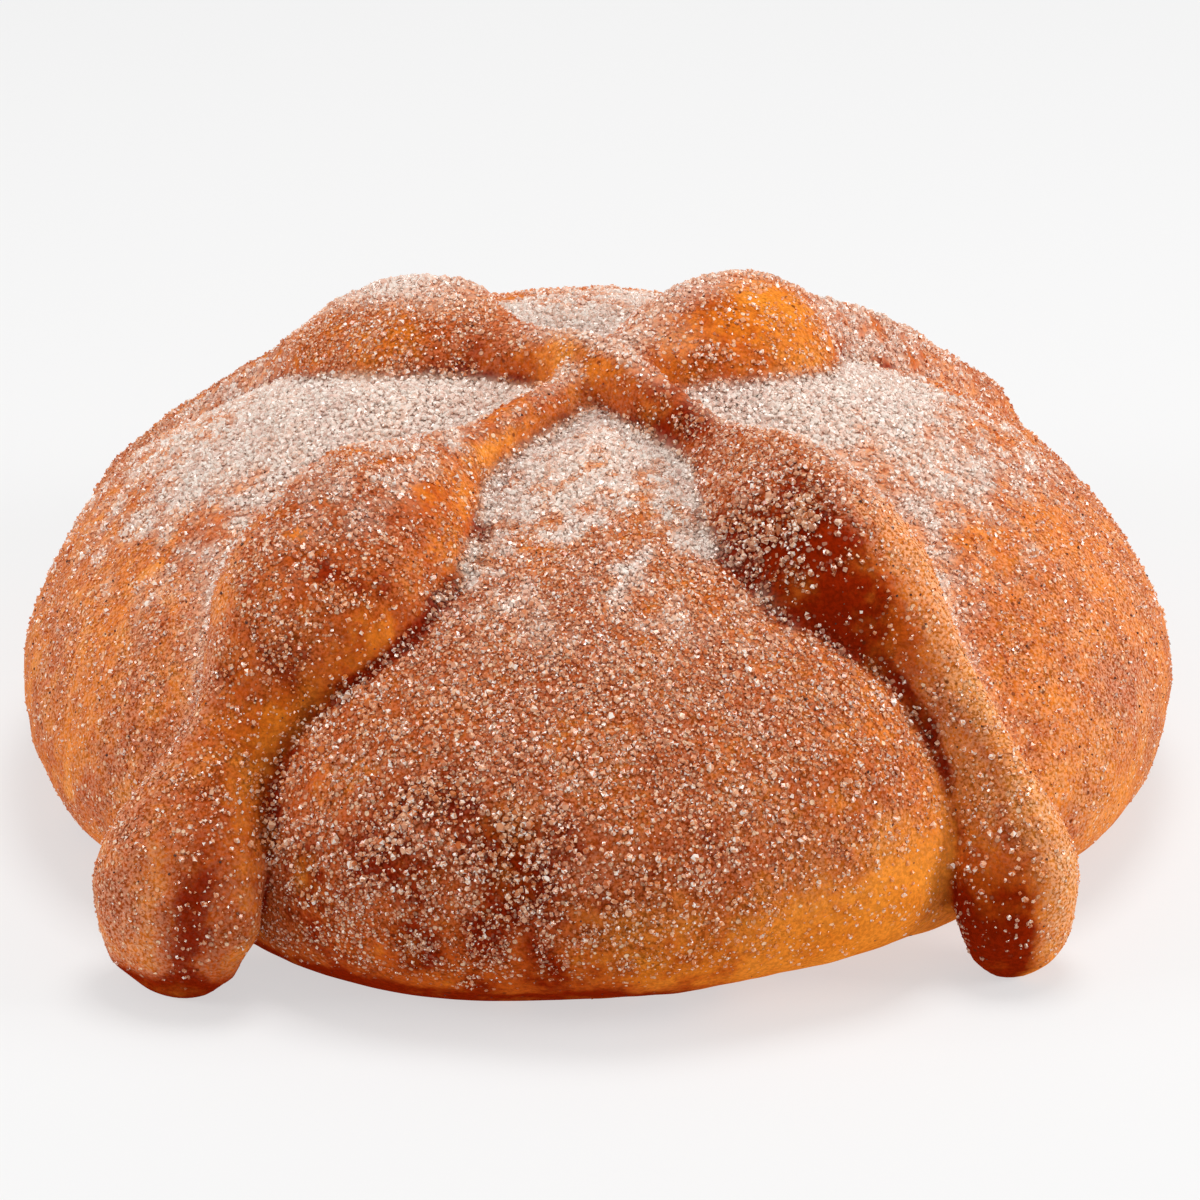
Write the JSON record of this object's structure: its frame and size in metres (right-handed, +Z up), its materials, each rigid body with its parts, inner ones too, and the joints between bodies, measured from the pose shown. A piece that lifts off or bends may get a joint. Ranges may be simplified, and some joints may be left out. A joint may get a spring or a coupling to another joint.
{
  "type": "pan de muerto",
  "caption": "Round sweet bun with crossed bone-shaped strips of dough over its top that hang down its sides, baked brown and sprinkled with coarse sugar.",
  "frame": {"origin": "on the table, under the middle of the bun", "axes": "+Z is up; the front faces -Y, and +X is to the right as seen from the front; the strips cross over +Z and run diagonally between the X and Y axes"},
  "size_m": [0.1179, 0.1178, 0.0493],
  "materials": {
    "bun_crust": "baked orange-brown crust, soft sheen, dusted with fine sugar",
    "strip_crust": "deeper brown crust, glossier on the crests"
  },
  "bodies": {
    "root": {"bun": "bun_crust", "bone_strip_lower": "strip_crust", "bone_strip_upper": "strip_crust"}
  },
  "joints": []
}
